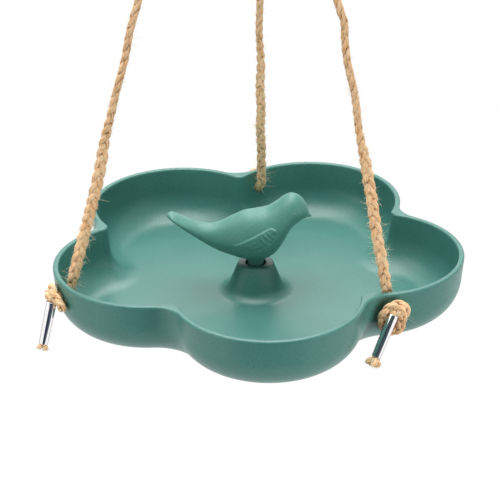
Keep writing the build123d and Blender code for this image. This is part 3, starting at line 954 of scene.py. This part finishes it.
# Top loop
# A short loop of the same rope that goes over the ring's wire, both its legs tied into the knot.
# The feeder swings where the loop bears on the wire.
ring_centre_z = -0.010
ring_path_radius = 0.01175
wire_low_z = ring_centre_z - ring_path_radius
loop_radius = 0.00465
loop_leg = 0.013
loop_low_z = wire_low_z - loop_leg
loop_round = loop_radius * tan(pi / 8)
loop_route = [
    (0, -loop_radius, loop_low_z),
    (0, -loop_radius, wire_low_z - loop_round),
    (0, -loop_radius, wire_low_z + loop_round),
    (0, -loop_round, wire_low_z + loop_radius),
    (0, loop_round, wire_low_z + loop_radius),
    (0, loop_radius, wire_low_z + loop_round),
    (0, loop_radius, wire_low_z - loop_round),
    (0, loop_radius, loop_low_z),
]
loop_path = spline_line("loop_route", loop_route, knot_step)
loop = plait("loop_plait", loop_path, np.broadcast_to([1.0, 0, 0], loop_path.shape), 1.0, 70)
finish_piece(loop, jute, "feeder", "jute", "top_loop")

# Hanging ring
# A ring of bright steel wire, butt-welded, that goes over a hook.
# It lies upright in the XZ plane, and the weld shows as a slight swelling.
ring_wire_radius = 0.00175
weld_at = 2.2
weld_length = 0.0009
weld_swell = 0.05
hoop = full_turn(160)
wire_turn = full_turn(40)
weld = 1 + weld_swell * np.exp(-(((hoop - weld_at) * ring_path_radius / weld_length) ** 2))
wire_out = ring_path_radius + ring_wire_radius * weld[:, None] * np.cos(wire_turn)
ring_points = np.stack([
    wire_out * np.cos(hoop)[:, None],
    ring_wire_radius * weld[:, None] * np.sin(wire_turn),
    wire_out * np.sin(hoop)[:, None] + ring_centre_z,
], -1)
ring = skin("ring_wire", [np.concatenate([ring_points, ring_points[:1]])], sharp=180)
finish_piece(ring, bright_metal, "hanger", "ring_steel", "hanging_ring")

# Stage
# A pale floor well below the dish and a white surround, with soft lamps above and two low in front.
# Upright cards that no camera sees give the metal and the plastic something to mirror.
view_drop = radians(26.412)
view_distance = 1.2230
photo_pixels = 500
focal_pixels = 2043.5
rim_centre_at = (255.70, 240.56)
view_roll = radians(-0.145)
rim_centre = Vector((0, 0, rim_z))
forward = Vector((
    cos(view_heading) * cos(view_drop), sin(view_heading) * cos(view_drop), -sin(view_drop)
))

camera = bpy.data.objects.new("camera", bpy.data.cameras.new("camera"))
bpy.context.scene.collection.objects.link(camera)
bpy.context.scene.camera = camera
camera.data.lens = camera.data.sensor_width * focal_pixels / photo_pixels
camera.data.clip_start = 0.05
camera.data.clip_end = 30
camera.location = rim_centre - forward * view_distance
right_of_centre = atan((rim_centre_at[0] - photo_pixels / 2) / focal_pixels)
below_centre = atan((rim_centre_at[1] - photo_pixels / 2) / focal_pixels)
nudge = Euler((below_centre, right_of_centre, view_roll)).to_quaternion()
camera.rotation_mode = "QUATERNION"
camera.rotation_quaternion = forward.to_track_quat("-Z", "Y") @ nudge


def background_ray(node):
    """1 for rays that show the background: from the camera, off a glossy surface or through a clear one."""
    rays = node("LightPath").outputs
    shown = node("Math", {0: rays["Is Camera Ray"], 1: rays["Is Glossy Ray"]}, operation="MAXIMUM").outputs[0]
    return node("Math", {0: shown, 1: rays["Is Transmission Ray"]}, operation="MAXIMUM").outputs[0]


floor_drop = 0.30
floor_half = 6.0
floor_glow = 0.30
stage_z = bottom_z - floor_drop
corner = np.array([-floor_half, floor_half])
floor_plan = corner[None, :] + 1j * corner[:, None]
stage_floor = skin("stage_floor", [lifted(floor_plan, stage_z)], closed=False)
floor_white, tree, shader, node = new_material("floor_white")
shader.inputs["Base Color"].default_value = (0.86, 0.86, 0.86, 1)
shader.inputs["Roughness"].default_value = 0.9
lift = node("Math", {0: background_ray(node), 1: floor_glow}, operation="MULTIPLY").outputs[0]
shader.inputs["Emission Color"].default_value = (1, 1, 1, 1)
tree.links.new(lift, shader.inputs["Emission Strength"])
clear = node("BsdfTransparent").outputs[0]
from_below = node("NewGeometry").outputs["Backfacing"]
sides = node("MixShader", {0: from_below, 1: shader.outputs[0], 2: clear})
tree.links.new(sides.outputs[0], tree.nodes["Material Output"].inputs["Surface"])
stage_floor.data.materials.append(floor_white)

surround_light = 0.10
world = bpy.data.worlds.new("surround")
bpy.context.scene.world = world
world.use_nodes = True
tree = world.node_tree
node = node_maker(tree)
glow = node("MapRange", {"Value": background_ray(node), "To Min": surround_light, "To Max": 1.0})
tree.links.new(glow.outputs["Result"], tree.nodes["Background"].inputs["Strength"])
tree.nodes["Background"].inputs["Color"].default_value = (1, 1, 1, 1)

level_ahead = Vector((cos(view_heading), sin(view_heading), 0))
level_right = Vector(photo_across)

# Soft square lamps: right of the dish, behind it and above its rim, their size and their power
soft_lamps = {
    "over": (0.0, 0.0, 1.5, 1.2, 24.5),
    "over_left": (-0.9, -0.1, 1.3, 1.0, 6.0),
    "over_behind": (0.0, 0.9, 1.3, 1.0, 13.4),
    "behind": (0.0, 1.5, 0.5, 1.0, 1.5),
    "low_left": (-0.9, -0.7, -0.12, 0.8, 7.2),
    "low_right": (0.9, -0.7, -0.12, 0.8, 9.6),
}
for name, (aside, away, above, size, power) in soft_lamps.items():
    lamp = bpy.data.objects.new(name, bpy.data.lights.new(name, "AREA"))
    lamp.data.size = size
    lamp.data.energy = power
    lamp.location = rim_centre + level_right * aside + level_ahead * away + Vector((0, 0, above))
    lamp.rotation_mode = "QUATERNION"
    lamp.rotation_quaternion = (rim_centre - lamp.location).to_track_quat("-Z", "Y")
    lamp.visible_camera = False
    lamp.visible_glossy = above > 0
    bpy.context.scene.collection.objects.link(lamp)


def mirrored_card(name, ends, heights, colour):
    """An upright card in an even glow, seen only by what mirrors it: its two ends right of the dish and
    towards the camera, its two heights from the rim, all in metres."""
    foot = [level_right * right - level_ahead * near for right, near in ends]
    sheet = np.array(foot)[None] + (rim_z + np.array(heights))[:, None, None] * upward
    card = skin(name, [sheet], closed=False)
    made, _, shader, _ = new_material(name)
    shader.inputs["Base Color"].default_value = (0, 0, 0, 1)
    shader.inputs["Specular IOR Level"].default_value = 0
    shader.inputs["Emission Color"].default_value = (*colour, 1)
    shader.inputs["Emission Strength"].default_value = 1
    card.data.materials.append(made)
    card.visible_camera = False
    card.visible_diffuse = False
    card.visible_shadow = False
    card.visible_transmission = False


bright_strip = (4.0, 4.1, 4.3)
dim_green = (0.062, 0.096, 0.077)
dim_blue = (0.048, 0.070, 0.088)
dark_blue = (0.038, 0.047, 0.076)
pale_blue = (0.100, 0.118, 0.150)
mirrored_card("left_strip", ((-0.90, 0.38), (-0.90, 0.08)), (0.06, 0.26), bright_strip)
mirrored_card("right_card", ((0.95, -0.15), (0.95, 0.45)), (0.02, 0.28), dim_green)
mirrored_card("left_card", ((-0.95, 0.60), (-0.95, -0.80)), (0.12, 0.75), dim_green)
mirrored_card("near_left_card", ((-0.05, 0.62), (-0.95, 0.62)), (0.12, 1.10), dim_green)
mirrored_card("near_card", ((-0.40, 0.60), (0.52, 0.60)), (0.0, 0.50), dim_blue)
mirrored_card("low_card", ((-0.34, 0.45), (0.03, 0.45)), (-0.33, 0.005), dark_blue)
mirrored_card("low_side_card", ((0.03, 0.45), (0.44, 0.45)), (-0.33, 0.005), pale_blue)

bpy.context.scene.view_settings.view_transform = "Standard"
